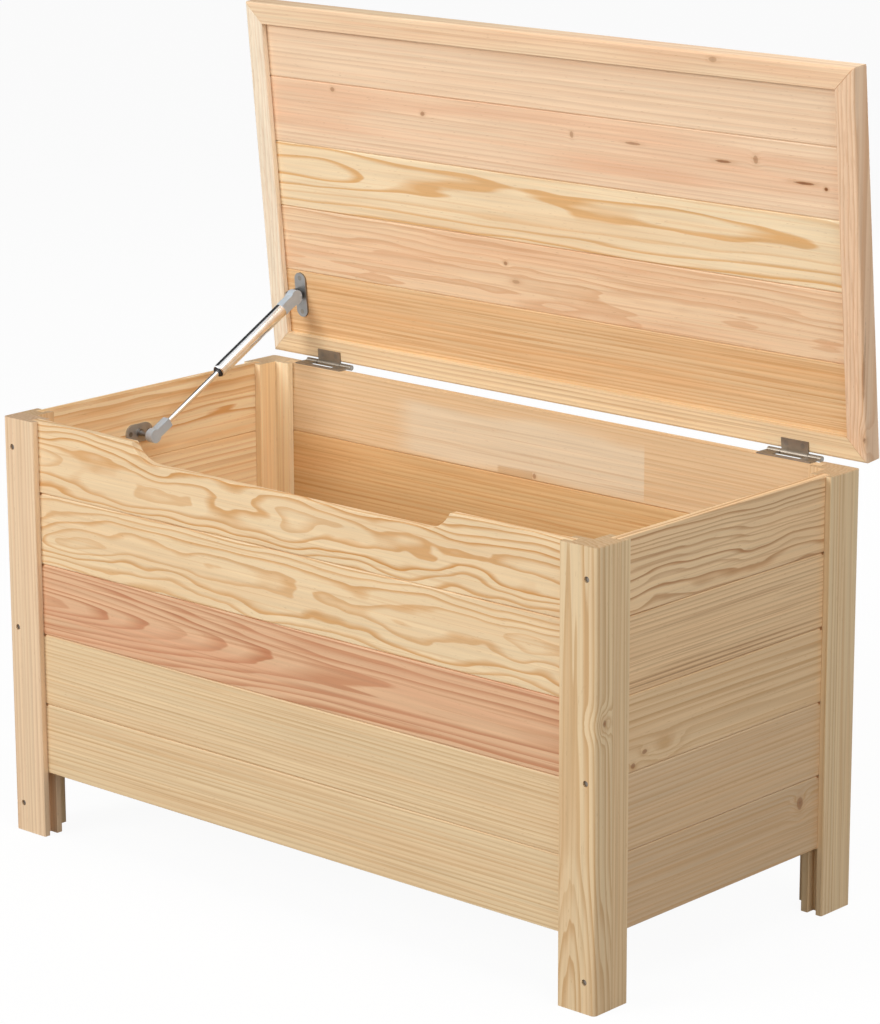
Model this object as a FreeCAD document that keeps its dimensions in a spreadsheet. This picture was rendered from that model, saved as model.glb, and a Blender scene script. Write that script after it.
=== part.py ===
import FreeCAD, Part
import math
import os
import re
import Sketcher

# Boards in each wall and in the lid
BOARDS = 5

# Driving sizes, in millimetres and degrees
SIZES = {
    "width": (800, "chest over its stiles, left to right"),
    "depth": (400, "chest over its stiles, front to back"),
    "wall_height": (450, "floor to the top of the walls"),
    "foot_height": (70, "floor to the underside of the lowest boards"),
    "stile_width": (45, "front and back stiles, across the face"),
    "stile_thick": (24, "front and back stiles, front to back"),
    "side_stile_width": (24, "side stiles, across the face"),
    "side_stile_thick": (25, "side stiles, outside to inside"),
    "stile_round": (4, "radius of the chest's outer corners"),
    "stile_ease": (1.5, "radius of the stiles' panel edges"),
    "board_thick": (10, "wall and lid boards"),
    "board_recess": (7, "wall boards behind the stiles' outer faces"),
    "groove_depth": (10, "groove that holds the boards' ends"),
    "groove_play": (0.1, "groove wall to board, each side"),
    "end_play": (1, "board end to groove bottom"),
    "tongue_thick": (3, "tongue between two boards"),
    "tongue_height": (4, "tongue's reach into the next board"),
    "tongue_play": (0.2, "tongue to its groove, each side"),
    "seam_bevel": (1, "bevel along each board seam"),
    "scoop_width": (430, "finger scoop along the top front board"),
    "scoop_depth": (19, "finger scoop below the walls' top"),
    "scoop_radius": (36, "radius of the finger scoop's ends"),
    "corner_screw_shank": (2, "corner screw shank radius"),
    "corner_screw_head": (3, "corner screw head radius"),
    "corner_screw_head_height": (3, "corner screw head"),
    "corner_screw_sink": (2, "corner screw head below the stile's face"),
    "corner_screw_length": (32, "corner screw under its head"),
    "corner_screw_end_gap": (31, "outer screws from the stiles' ends"),
    "screw_play": (0.05, "screw to its hole, radial"),
    "batten_size": (16, "square section of the floor battens"),
    "batten_lift": (4, "battens above the underside of the boards"),
    "floor_thick": (6, "floor panel"),
    "floor_play": (1, "floor panel to what surrounds it"),
    "lid_overhang": (4, "lid past the chest's left and right face, each"),
    "lid_setback": (8, "closed lid's front edge behind the stiles' faces"),
    "lid_thick": (23, "lid frame"),
    "lid_rail_width": (23, "lid frame rails, across the face"),
    "lid_recess": (7, "lid boards behind the frame's inner face"),
    "lid_front_board": (58, "lid board at the front edge, from its rail to its seam"),
    "lid_round": (3, "radius of the lid's outer edges"),
    "lid_gap": (1.8, "closed lid above the walls"),
    "lid_open": (84.5, "opening angle at rest"),
    "hinge_inset": (82, "middle of a hinge inside the chest's outer face"),
    "hinge_length": (66, "base leaf along the pin"),
    "leaf_thick": (1.5, "hinge leaves"),
    "leaf_margin": (0.5, "base leaf inside the boards' inner face"),
    "leaf_play": (0.5, "lid leaf to the base leaf's window"),
    "lid_leaf_length": (33, "lid leaf along the pin"),
    "lid_leaf_reach": (15, "lid leaf from the pin's axis"),
    "knuckle_radius": (3, "hinge knuckles, outside"),
    "pin_radius": (1.5, "hinge pin"),
    "pin_play": (0.05, "hinge pin to its knuckles, radial"),
    "pin_behind": (3.5, "pin's axis behind the chest's back"),
    "wood_screw_shank": (1.4, "hinge and bracket screw shank radius"),
    "wood_screw_head": (2.7, "hinge and bracket screw head radius"),
    "hinge_screw_length": (14, "hinge screws, overall"),
    "bracket_screw_length": (9, "bracket screws, overall"),
    "base_screw_offset": (25, "base leaf screws from the hinge's middle"),
    "lid_screw_offset": (10, "lid leaf screws from the hinge's middle"),
    "lid_screw_reach": (10, "lid leaf screws from the pin's axis"),
    "strut_inset": (40, "strut's middle plane inside the chest's left face"),
    "strut_low_ahead": (225, "lower pivot in front of the chest's back"),
    "strut_low_drop": (46, "lower pivot below the top of the walls"),
    "strut_lid_reach": (68, "upper pivot from the lid's back edge"),
    "pivot_lift": (13, "upper pivot off the lid boards"),
    "pivot_radius": (3, "studs that the strut turns on"),
    "pivot_play": (0.05, "stud to its socket, radial"),
    "pivot_depth": (7, "stud's bore into a socket"),
    "pivot_end_play": (0.3, "stud's end and shoulder to its socket"),
    "collar_radius": (4.5, "stud collars"),
    "collar_thick": (2, "lower stud's collar"),
    "tube_radius": (7.5, "strut tube, outside"),
    "tube_wall": (1.2, "strut tube"),
    "tube_length": (112, "strut tube"),
    "tube_end_thick": (2, "strut tube's closed end"),
    "tube_end_round": (1, "bevel of the strut tube's ends"),
    "rod_radius": (3, "strut rod"),
    "rod_seat": (10, "strut rod inside its lower socket"),
    "guide_length": (8, "rod guide inside the tube"),
    "guide_lip": (1.5, "rod guide outside the tube"),
    "guide_lip_radius": (5.5, "rod guide's lip"),
    "slide_play": (0.05, "rod to guide and guide to tube, radial"),
    "piston_thick": (8, "piston on the rod's end"),
    "piston_gap": (1, "piston to guide, strut at full length"),
    "upper_socket_length": (22.5, "upper pivot to the tube"),
    "lower_socket_length": (25, "lower pivot to the socket's mouth"),
    "upper_socket_radius": (8.5, "upper socket's eye"),
    "lower_socket_radius": (7.5, "lower socket's eye"),
    "socket_thick": (9, "sockets along the pivot axis"),
    "upper_neck_width": (13, "upper socket's neck"),
    "lower_neck_width": (10, "lower socket's neck"),
    "plate_thick": (2, "bracket plates"),
    "upper_plate_length": (50, "upper bracket along the lid"),
    "upper_plate_width": (16, "upper bracket across"),
    "upper_screw_offset": (19, "upper bracket screws from its middle"),
    "ear_radius": (6.5, "round end of the upper bracket's ear"),
    "lower_plate_length": (38, "lower bracket, front to back"),
    "lower_plate_height": (20, "lower bracket"),
    "lower_screw_offset": (13, "lower bracket screws from its middle"),
}

# Places that follow from the sizes
PLACES = {
    "half_width": "width / 2",
    "half_depth": "depth / 2",
    "lid_width": "width + 2 * lid_overhang",
    "lid_depth": "depth - lid_setback",
    "lid_board_width": f"(lid_depth - 2 * lid_rail_width - lid_front_board) / {BOARDS - 1}",
    "hinge_place": "half_width - hinge_inset",
    "wall_in": "board_recess + board_thick",
    "groove_near": "board_recess - groove_play",
    "groove_far": "wall_in + groove_play",
    "corner_reach": "stile_thick + side_stile_width",
    "board_engage": "groove_depth - end_play",
    "scoop_run": "sqrt(2 * scoop_radius * scoop_depth - scoop_depth ^ 2)",
    "floor_low": "foot_height + batten_lift + batten_size",
    "hinge_y": "half_depth + pin_behind",
    "hinge_z": "wall_height + leaf_thick / 2",
    "lid_face": "lid_gap - leaf_thick / 2",
    "lid_back": "0 - pin_behind",
    "lid_front": "0 - pin_behind - lid_depth",
    "lid_boards_face": "lid_face + lid_recess",
    "base_leaf_reach": "pin_behind + wall_in - leaf_margin",
    "base_screw_reach": "pin_behind + board_recess + board_thick / 2",
    "head_depth": "wood_screw_head - wood_screw_shank",
    "strut_x": "strut_inset - half_width",
    "pivot_y": "0 - pin_behind - strut_lid_reach",
    "pivot_z": "lid_boards_face - pivot_lift",
    "strut_top_y": "hinge_y + pivot_y * cos(lid_open) + pivot_z * sin(lid_open)",
    "strut_top_z": "hinge_z - pivot_y * sin(lid_open) + pivot_z * cos(lid_open)",
    "strut_low_y": "half_depth - strut_low_ahead",
    "strut_low_z": "wall_height - strut_low_drop",
    "strut_length": "sqrt((strut_top_y - strut_low_y) ^ 2 + (strut_top_z - strut_low_z) ^ 2)",
    "strut_turn": "180 - atan((strut_top_z - strut_low_z) / (strut_top_y - strut_low_y)) / (1 deg)",
    "tube_bore": "tube_radius - tube_wall",
    "tube_mouth": "upper_socket_length + tube_length",
    "rod_top": "tube_mouth - guide_length - piston_gap",
    "lower_socket_top": "strut_length - lower_socket_length",
    "ear_x": "strut_x - upper_plate_width / 2",
    "stud_reach": "socket_thick / 2 + pivot_end_play",
    "upper_collar": "upper_plate_width / 2 - plate_thick - stud_reach",
    "low_plate_x": "wall_in - half_width",
    "lid_round_y": "(0 - pin_behind - lid_round) * cos(lid_open)",
    "lid_round_z": "(lid_face + lid_thick - lid_round) * sin(lid_open)",
    "origin_shift": "0 - (pin_behind + lid_round_y + lid_round_z + lid_round) / 2",
}

SIDES = {"left": -1, "right": 1}
ENDS = {"front": -1, "back": 1}
TURN_AXIS = FreeCAD.Vector(-1, 0, 0)
OWNER = {**{name: "Sizes." for name in SIZES}, **{name: "Places." for name in PLACES}}

doc = FreeCAD.newDocument("blanket_chest")
nodes = []


def formula(text):
    """Writes the sheet's name before each size or place in a formula."""
    return re.sub(r"[a-z_]+", lambda found: OWNER.get(found.group(), "") + found.group(), str(text))


def fill_sheets():
    """Puts the sizes and the places into one spreadsheet each."""
    sizes = doc.addObject("Spreadsheet::Sheet", "Sizes")
    for row, (name, (number, words)) in enumerate(SIZES.items(), start=1):
        sizes.set(f"A{row}", name)
        sizes.set(f"B{row}", str(number))
        sizes.set(f"C{row}", words)
        sizes.setAlias(f"B{row}", name)
    doc.recompute()
    places = doc.addObject("Spreadsheet::Sheet", "Places")
    for row, (name, text) in enumerate(PLACES.items(), start=1):
        places.set(f"A{row}", name)
        places.set(f"B{row}", "=" + formula(text).replace("Places.", ""))
        places.setAlias(f"B{row}", name)
        doc.recompute()
    return sizes


def value(text):
    """The number that a formula gives now."""
    return float(sheet.evalExpression(formula(text)))


def bind(thing, **texts):
    """Binds properties of an object to formulas; a double underscore stands for a dot."""
    for name, text in texts.items():
        thing.setExpression(name.replace("__", "."), formula(text))


def place(thing, x="0", y="0", z="0", turn=None, axis=TURN_AXIS):
    """Binds where an object stands, with the chest's middle line moved onto the origin's axis."""
    if turn is not None:
        thing.Placement = FreeCAD.Placement(FreeCAD.Vector(), FreeCAD.Rotation(axis, value(turn)))
        bind(thing, Placement__Rotation__Angle=turn)
    bind(thing, Placement__Base__x=x, Placement__Base__y=f"origin_shift + ({y})", Placement__Base__z=z)


def place_on_lid(thing, x="0"):
    """Puts an object drawn about the hinge axis, lid closed, onto the open lid."""
    place(thing, x, "hinge_y", "hinge_z", "lid_open")


def place_on_strut(thing):
    """Puts an object drawn about the upper pivot, with +Y down the strut, onto the strut."""
    place(thing, "strut_x", "strut_top_y", "strut_top_z", "strut_turn")


def on_lid(y, z):
    """Turns a point beside the closed hinge into its place on the open lid."""
    turned_y = f"hinge_y + ({y}) * cos(lid_open) + ({z}) * sin(lid_open)"
    turned_z = f"hinge_z - ({y}) * sin(lid_open) + ({z}) * cos(lid_open)"
    return turned_y, turned_z


def node(thing, label):
    """Keeps an object as one piece of the chest."""
    thing.Label = label
    nodes.append(thing)
    return thing


def new_body(label):
    return node(doc.addObject("PartDesign::Body", label), label)


def new_sketch(body, role, offset="0"):
    sketch = body.newObject("Sketcher::SketchObject", "sketch")
    plane = next(item for item in body.Origin.OriginFeatures if item.Role == role)
    sketch.AttachmentSupport = [(plane, "")]
    sketch.MapMode = "FlatFace"
    bind(sketch, AttachmentOffset__Base__z=offset)
    return sketch


def fix(sketch, kind, *where, text):
    """Adds one dimension to a sketch and binds it to a formula."""
    index = sketch.addConstraint(Sketcher.Constraint(kind, *where, value(text)))
    sketch.setExpression(f"Constraints[{index}]", formula(text))


def outline(body, role, points, offset="0"):
    """Sketches a closed outline. A point may carry the centre of an arc that runs to the next point."""
    sketch = new_sketch(body, role, offset)
    spots = [FreeCAD.Vector(value(point[0]), value(point[1]), 0) for point in points]
    for index, point in enumerate(points):
        start, end = spots[index], spots[(index + 1) % len(points)]
        if len(point) == 2:
            sketch.addGeometry(Part.LineSegment(start, end), False)
            continue
        centre = FreeCAD.Vector(value(point[2]), value(point[3]), 0)
        circle = Part.Circle(centre, FreeCAD.Vector(0, 0, 1), (start - centre).Length)
        first = math.atan2(start.y - centre.y, start.x - centre.x)
        last = math.atan2(end.y - centre.y, end.x - centre.x)
        sketch.addGeometry(Part.ArcOfCircle(circle, first, last), False)
    for index, point in enumerate(points):
        sketch.addConstraint(Sketcher.Constraint("Coincident", index, 2, (index + 1) % len(points), 1))
        fix(sketch, "DistanceX", -1, 1, index, 1, text=point[0])
        fix(sketch, "DistanceY", -1, 1, index, 1, text=point[1])
        chord = spots[(index + 1) % len(points)] - spots[index]
        if len(point) > 2 and abs(chord.x) > abs(chord.y):
            fix(sketch, "DistanceY", -1, 1, index, 3, text=point[3])
        elif len(point) > 2:
            fix(sketch, "DistanceX", -1, 1, index, 3, text=point[2])
    return sketch


def circles(body, role, centres, radius, offset="0"):
    """Sketches equal circles."""
    sketch = new_sketch(body, role, offset)
    for index, (x, y) in enumerate(centres):
        centre = FreeCAD.Vector(value(x), value(y), 0)
        sketch.addGeometry(Part.Circle(centre, FreeCAD.Vector(0, 0, 1), value(radius)), False)
        fix(sketch, "DistanceX", -1, 1, index, 3, text=x)
        fix(sketch, "DistanceY", -1, 1, index, 3, text=y)
        fix(sketch, "Radius", index, text=radius)
    return sketch


def pad(body, sketch, length, side="One side"):
    feature = body.newObject("PartDesign::Pad", "pad")
    feature.Profile = sketch
    feature.SideType = side
    bind(feature, Length=length)
    doc.recompute()
    return feature


def pocket(body, sketch, depth=None):
    """Cuts to both sides of the sketch, right through or to a depth, and checks that it cut."""
    before = body.Shape.Volume
    feature = body.newObject("PartDesign::Pocket", "pocket")
    feature.Profile = sketch
    feature.SideType = "Symmetric"
    if depth is None:
        feature.Type = "ThroughAll"
    else:
        bind(feature, Length=f"2 * ({depth})")
    doc.recompute()
    if not body.Shape.Volume < before:
        raise RuntimeError(f"{body.Label}: a cut removed nothing")
    return feature


def sink_holes(body, sketch, upwards=False):
    """Drills countersunk screw holes through a plate."""
    doc.recompute()
    before = body.Shape.Volume
    feature = body.newObject("PartDesign::Hole", "hole")
    feature.Profile = sketch
    feature.Threaded = False
    feature.DepthType = "ThroughAll"
    feature.HoleCutType = "Countersink"
    feature.HoleCutCustomValues = True
    feature.HoleCutCountersinkAngle = 90
    feature.Reversed = upwards
    bind(feature, Diameter="2 * (wood_screw_shank + screw_play)")
    bind(feature, HoleCutDiameter="2 * (wood_screw_head + screw_play)")
    doc.recompute()
    if not body.Shape.Volume < before:
        raise RuntimeError(f"{body.Label}: the screw holes removed nothing")


def revolve(body, sketch):
    """Turns a profile about the strut's own axis."""
    feature = body.newObject("PartDesign::Revolution", "revolution")
    feature.Profile = sketch
    feature.ReferenceAxis = (sketch, ["V_Axis"])
    feature.Angle = 360
    doc.recompute()


def round_edges(body, radius, chosen):
    """Fillets the edges that are chosen by their two end points."""
    tip = body.Tip
    names = []
    for index, edge in enumerate(tip.Shape.Edges, start=1):
        if len(edge.Vertexes) == 2 and chosen(*[corner.Point for corner in edge.Vertexes]):
            names.append(f"Edge{index}")
    if not names:
        raise RuntimeError(f"{body.Label}: no edge to round")
    feature = body.newObject("PartDesign::Fillet", "fillet")
    feature.Base = (tip, names)
    bind(feature, Radius=radius)
    doc.recompute()


def near(first, second):
    return abs(first - second) < 1e-4


def upright_at(x, y):
    """Picks the upright edge at a plan position."""
    spot = FreeCAD.Vector(value(x), value(y), 0)

    def at_spot(point):
        return near(point.x, spot.x) and near(point.y, spot.y)

    return lambda first, last: at_spot(first) and at_spot(last)


def corner_xy(side, end, inside_x, inside_y):
    """A plan position counted inwards from one outer corner of the chest."""
    return f"{side} * (half_width - ({inside_x}))", f"{end} * (half_depth - ({inside_y}))"


def corner_screw_heights():
    return ["corner_screw_end_gap", "wall_height / 2", "wall_height - corner_screw_end_gap"]


def screw_circles(body, side, end, inside_y, radius):
    """Sketches the corner screws' circles on a plane across the chest's depth."""
    x = f"{side} * (half_width - side_stile_thick / 2)"
    centres = [(x, z) for z in corner_screw_heights()]
    return circles(body, "XZ_Plane", centres, radius, f"{-end} * (half_depth - ({inside_y}))")


def make_stile(label, side, end):
    """Front or back stile: grooved for its boards, bored for the corner screws."""
    body = new_body(label)
    section = [
        ("0", "0"),
        ("stile_width", "0"),
        ("stile_width", "groove_near"),
        ("stile_width - groove_depth", "groove_near"),
        ("stile_width - groove_depth", "groove_far"),
        ("stile_width", "groove_far"),
        ("stile_width", "stile_thick"),
        ("0", "stile_thick"),
    ]
    points = [corner_xy(side, end, *point) for point in section]
    pad(body, outline(body, "XY_Plane", points), "wall_height")
    round_edges(body, "stile_round", upright_at(*points[0]))
    round_edges(body, "stile_ease", upright_at(*points[1]))
    head_bore = screw_circles(body, side, end, "0", "corner_screw_head + screw_play")
    pocket(body, head_bore, "corner_screw_sink + corner_screw_head_height")
    pocket(body, screw_circles(body, side, end, "0", "corner_screw_shank + screw_play"))
    place(body)


def make_side_stile(label, side, end):
    """Side stile: grooved for its boards, with pilot holes for the corner screws."""
    body = new_body(label)
    section = [
        ("0", "stile_thick"),
        ("side_stile_thick", "stile_thick"),
        ("side_stile_thick", "corner_reach"),
        ("groove_far", "corner_reach"),
        ("groove_far", "corner_reach - groove_depth"),
        ("groove_near", "corner_reach - groove_depth"),
        ("groove_near", "corner_reach"),
        ("0", "corner_reach"),
    ]
    points = [corner_xy(side, end, *point) for point in section]
    pad(body, outline(body, "XY_Plane", points), "wall_height")
    round_edges(body, "stile_ease", upright_at(*points[-1]))
    pilots = screw_circles(body, side, end, "stile_thick", "corner_screw_shank + screw_play")
    tip = "corner_screw_sink + corner_screw_head_height + corner_screw_length - stile_thick + end_play"
    pocket(body, pilots, tip)
    place(body)


def board_section(near_face, far_face, low, high, grooved, tongued):
    """Section of a tongue-and-groove board, as pairs of thickness and height."""
    middle = f"({near_face} + {far_face}) / 2"
    slot = "tongue_thick / 2 + tongue_play"
    slot_top = f"{low} + tongue_height + tongue_play"
    tongue_top = f"{high} + tongue_height"
    bottom = [(near_face, low), (far_face, low)]
    if grooved:
        bottom = [
            (near_face, f"{low} + seam_bevel"),
            (f"{near_face} + seam_bevel", low),
            (f"{middle} - ({slot})", low),
            (f"{middle} - ({slot})", slot_top),
            (f"{middle} + ({slot})", slot_top),
            (f"{middle} + ({slot})", low),
            (f"{far_face} - seam_bevel", low),
            (far_face, f"{low} + seam_bevel"),
        ]
    top = [(far_face, high), (near_face, high)]
    if tongued:
        top = [
            (far_face, f"{high} - seam_bevel"),
            (f"{far_face} - seam_bevel", high),
            (f"{middle} + tongue_thick / 2", high),
            (f"{middle} + tongue_thick / 2", tongue_top),
            (f"{middle} - tongue_thick / 2", tongue_top),
            (f"{middle} - tongue_thick / 2", high),
            (f"{near_face} + seam_bevel", high),
            (near_face, f"{high} - seam_bevel"),
        ]
    return bottom + top


def wall_board_section(number):
    """Section of one wall board, number 1 at the top."""
    pitch = f"(wall_height - foot_height) / {BOARDS}"
    low = f"(wall_height - {number} * {pitch})"
    high = f"(wall_height - {number - 1} * {pitch})"
    return board_section("board_recess", "wall_in", low, high, number < BOARDS, number > 1)


def make_long_board(wall, end, number):
    """Front or back wall board."""
    body = new_body(f"{wall}_board_{number}")
    points = [(f"{end} * (half_depth - ({t}))", z) for t, z in wall_board_section(number)]
    length = "width - 2 * stile_width + 2 * board_engage"
    pad(body, outline(body, "YZ_Plane", points), length, "Symmetric")
    place(body)
    return body


def make_short_board(wall, side, number):
    """Left or right wall board."""
    body = new_body(f"{wall}_board_{number}")
    points = [(f"{side} * (half_width - ({t}))", z) for t, z in wall_board_section(number)]
    length = "depth - 2 * corner_reach + 2 * board_engage"
    pad(body, outline(body, "XZ_Plane", points), length, "Symmetric")
    place(body)
    return body


def cut_finger_scoop(board):
    """Cuts the long finger scoop into the top edge of the front wall."""
    bottom = "wall_height - scoop_depth"
    centre_z = f"{bottom} + scoop_radius"
    left_centre = "scoop_run - scoop_width / 2"
    right_centre = "scoop_width / 2 - scoop_run"
    points = [
        ("0 - scoop_width / 2", "wall_height", left_centre, centre_z),
        (left_centre, bottom),
        (right_centre, bottom, right_centre, centre_z),
        ("scoop_width / 2", "wall_height"),
    ]
    pocket(board, outline(board, "XZ_Plane", points))


def base_screw_spots():
    """Plan positions of the base leaf screws, about each hinge's middle on the pin's axis."""
    return [(f"{side} * base_screw_offset", "0 - base_screw_reach") for side in SIDES.values()]


def lid_screw_spots():
    return [(f"{side} * lid_screw_offset", "0 - lid_screw_reach") for side in SIDES.values()]


def at_hinges(spots):
    """Repeats spots about a hinge's middle at both hinges."""
    return [(f"{side} * hinge_place + {x}", y) for side in SIDES.values() for x, y in spots]


def drill_hinge_pilots(board):
    """Pilot holes for the base leaf screws in the back wall's top edge."""
    centres = [(x, f"hinge_y + {y}") for x, y in at_hinges(base_screw_spots())]
    holes = circles(board, "XY_Plane", centres, "wood_screw_shank + screw_play", "wall_height")
    pocket(board, holes, "hinge_screw_length")


def low_bracket_spots():
    """Lower bracket screws, as pairs of depth and height."""
    return [(f"strut_low_y + {side} * lower_screw_offset", "strut_low_z") for side in SIDES.values()]


def drill_low_bracket_pilots(board):
    """Pilot holes for the lower bracket in the left wall's inner face."""
    hole = "wood_screw_shank + screw_play"
    holes = circles(board, "YZ_Plane", low_bracket_spots(), hole, "low_plate_x")
    pocket(board, holes, "bracket_screw_length - plate_thick + groove_play")


def make_walls():
    for end_name, end in ENDS.items():
        for side_name, side in SIDES.items():
            make_stile(f"{end_name}_stile_{side_name}", side, end)
            make_side_stile(f"{side_name}_side_stile_{end_name}", side, end)
    for number in range(1, BOARDS + 1):
        long_boards = {name: make_long_board(name, end, number) for name, end in ENDS.items()}
        short_boards = {name: make_short_board(name, side, number) for name, side in SIDES.items()}
        if number == 1:
            cut_finger_scoop(long_boards["front"])
            drill_hinge_pilots(long_boards["back"])
            drill_low_bracket_pilots(short_boards["left"])


def make_box(length, width, height, x, y, z):
    """A rectangular block given by its sizes and its lowest corner."""
    box = doc.addObject("Part::Box", "block")
    bind(box, Length=length, Width=width, Height=height)
    place(box, x, y, z)
    return box


def make_group(label, members):
    """Separate solids that share one node."""
    group = doc.addObject("Part::Compound", label)
    group.Links = members
    return node(group, label)


def make_floor():
    """Battens along the four walls, and the floor panel that rests on them."""
    low = "foot_height + batten_lift"
    long_length = "width - 2 * (stile_width + floor_play)"
    short_length = "depth - 2 * (corner_reach + floor_play)"
    size = "batten_size"
    left = "0 - half_width + wall_in"
    front = "0 - half_depth + wall_in"
    battens = [
        make_box(long_length, size, size, "stile_width + floor_play - half_width", front, low),
        make_box(long_length, size, size, "stile_width + floor_play - half_width", f"0 - ({front}) - {size}", low),
        make_box(size, short_length, size, left, "corner_reach + floor_play - half_depth", low),
        make_box(size, short_length, size, f"0 - ({left}) - {size}", "corner_reach + floor_play - half_depth", low),
    ]
    make_group("floor_battens", battens)
    steps = [
        ("wall_in + floor_play", "corner_reach + floor_play"),
        ("side_stile_thick + floor_play", "corner_reach + floor_play"),
        ("side_stile_thick + floor_play", "stile_thick + floor_play"),
        ("stile_width + floor_play", "stile_thick + floor_play"),
        ("stile_width + floor_play", "wall_in + floor_play"),
    ]
    body = new_body("floor_panel")
    points = [corner_xy(1, -1, *step) for step in reversed(steps)]
    points += [corner_xy(1, 1, *step) for step in steps]
    points += [corner_xy(-1, 1, *step) for step in reversed(steps)]
    points += [corner_xy(-1, -1, *step) for step in steps]
    pad(body, outline(body, "XY_Plane", points, "floor_low"), "floor_thick")
    place(body)


def make_cylinder(radius, height, low="0", axis=None):
    """A round bar from a level up its own axis, which is +Z unless it is turned."""
    bar = doc.addObject("Part::Cylinder", "bar")
    bind(bar, Radius=radius, Height=height)
    if axis == "X":
        bar.Placement.Rotation = FreeCAD.Rotation(FreeCAD.Vector(0, 1, 0), 90)
        bind(bar, Placement__Base__x=low)
    elif axis == "Y":
        bar.Placement.Rotation = FreeCAD.Rotation(FreeCAD.Vector(1, 0, 0), -90)
        bind(bar, Placement__Base__y=low)
    else:
        bind(bar, Placement__Base__z=low)
    return bar


def fuse(*members):
    joined = doc.addObject("Part::MultiFuse", "joined")
    joined.Shapes = list(members)
    return joined


def cut(base, tool):
    rest = doc.addObject("Part::Cut", "rest")
    rest.Base = base
    rest.Tool = tool
    return rest


def make_corner_screw():
    """A barrel-headed screw that points down from the top of its head."""
    head = make_cylinder("corner_screw_head", "corner_screw_head_height", "0 - corner_screw_head_height")
    low = "0 - corner_screw_head_height - corner_screw_length"
    return fuse(head, make_cylinder("corner_screw_shank", "corner_screw_length", low))


def make_wood_screw(length):
    """A countersunk screw that points down from the top of its head."""
    head = doc.addObject("Part::Cone", "head")
    bind(head, Radius1="wood_screw_shank", Radius2="wood_screw_head", Height="head_depth")
    bind(head, Placement__Base__z="0 - head_depth")
    return fuse(head, make_cylinder("wood_screw_shank", f"{length} - head_depth", f"0 - {length}"))


def make_corner_screws():
    members = []
    for end in ENDS.values():
        for side in SIDES.values():
            for height in corner_screw_heights():
                screw = make_corner_screw()
                x, y = corner_xy(side, end, "side_stile_thick / 2", "corner_screw_sink")
                place(screw, x, y, height, "90", FreeCAD.Vector(-end, 0, 0))
                members.append(screw)
    make_group("corner_screws", members)


def lid_rail(label, points, role, edge, outward):
    """One mitred rail of the lid frame, grooved along its inner edge and rounded along its outer one."""
    body = new_body(label)
    pad(body, outline(body, "XY_Plane", points, "lid_face"), "lid_thick")
    deep = f"{edge} + {outward} * groove_depth"
    past = f"{edge} - {outward} * groove_depth"
    low = "lid_boards_face - groove_play"
    high = "lid_boards_face + board_thick + groove_play"
    pocket(body, outline(body, role, [(deep, low), (past, low), (past, high), (deep, high)]))
    outer = value(f"{edge} + {outward} * lid_rail_width")

    def along_outer_face(first, last):
        across = [point.y if role == "YZ_Plane" else point.x for point in (first, last)]
        return all(near(number, outer) for number in across) and near(first.z, last.z)

    round_edges(body, "lid_round", along_outer_face)
    return body


def make_lid_frame():
    left, right = "0 - lid_width / 2", "lid_width / 2"
    inner_left, inner_right = f"{left} + lid_rail_width", f"{right} - lid_rail_width"
    inner_front, inner_back = "lid_front + lid_rail_width", "lid_back - lid_rail_width"
    outer_corners = [(left, "lid_front"), (right, "lid_front"), (right, "lid_back"), (left, "lid_back")]
    inner_corners = [
        (inner_left, inner_front),
        (inner_right, inner_front),
        (inner_right, inner_back),
        (inner_left, inner_back),
    ]
    rails = [
        ("front", "YZ_Plane", inner_front, -1),
        ("right", "XZ_Plane", inner_right, 1),
        ("back", "YZ_Plane", inner_back, 1),
        ("left", "XZ_Plane", inner_left, -1),
    ]
    for index, (name, role, edge, outward) in enumerate(rails):
        after = (index + 1) % len(rails)
        points = [outer_corners[index], outer_corners[after], inner_corners[after], inner_corners[index]]
        body = lid_rail(f"lid_rail_{name}", points, role, edge, outward)
        if name == "back":
            holes = at_hinges(lid_screw_spots())
            sketch = circles(body, "XY_Plane", holes, "wood_screw_shank + screw_play", "lid_face")
            pocket(body, sketch, "hinge_screw_length - leaf_thick + groove_play")
        place_on_lid(body)


def upper_screw_spots():
    """Upper bracket screws on the closed lid, in plan."""
    return [("strut_x", f"pivot_y + {side} * upper_screw_offset") for side in SIDES.values()]


def make_lid_boards():
    """Lid boards, number 1 at the front edge; the others share what it leaves."""
    near_face, far_face = "lid_boards_face", "(lid_boards_face + board_thick)"
    seams = ["(lid_front + lid_rail_width - board_engage)"]
    for number in range(1, BOARDS):
        seams.append(f"(lid_back - lid_rail_width - {BOARDS - number} * lid_board_width)")
    seams.append("(lid_back - lid_rail_width + board_engage)")
    for number in range(1, BOARDS + 1):
        body = new_body(f"lid_board_{number}")
        low, high = seams[number - 1], seams[number]
        section = board_section(near_face, far_face, low, high, number > 1, number < BOARDS)
        points = [(y, z) for z, y in section]
        length = "lid_width - 2 * lid_rail_width + 2 * board_engage"
        pad(body, outline(body, "YZ_Plane", points), length, "Symmetric")
        met = [spot for spot in upper_screw_spots() if value(low) < value(spot[1]) < value(high)]
        if met:
            holes = circles(body, "XY_Plane", met, "wood_screw_shank + screw_play", "lid_boards_face")
            pocket(body, holes, "bracket_screw_length - plate_thick + groove_play")
        place_on_lid(body)


def rectangle(left, right, low, high):
    return [(left, low), (right, low), (right, high), (left, high)]


def hinge_leaf(label, length, reach, low):
    """A hinge leaf with its knuckle round the pin's axis."""
    body = new_body(label)
    half = f"{length} / 2"
    plate = rectangle(f"0 - {half}", half, f"0 - {reach}", "0")
    pad(body, outline(body, "XY_Plane", plate, low), "leaf_thick")
    pad(body, circles(body, "YZ_Plane", [("0", "0")], "knuckle_radius"), length, "Symmetric")
    return body


def bore_knuckle(body):
    pocket(body, circles(body, "YZ_Plane", [("0", "0")], "pin_radius + pin_play"))


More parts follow.
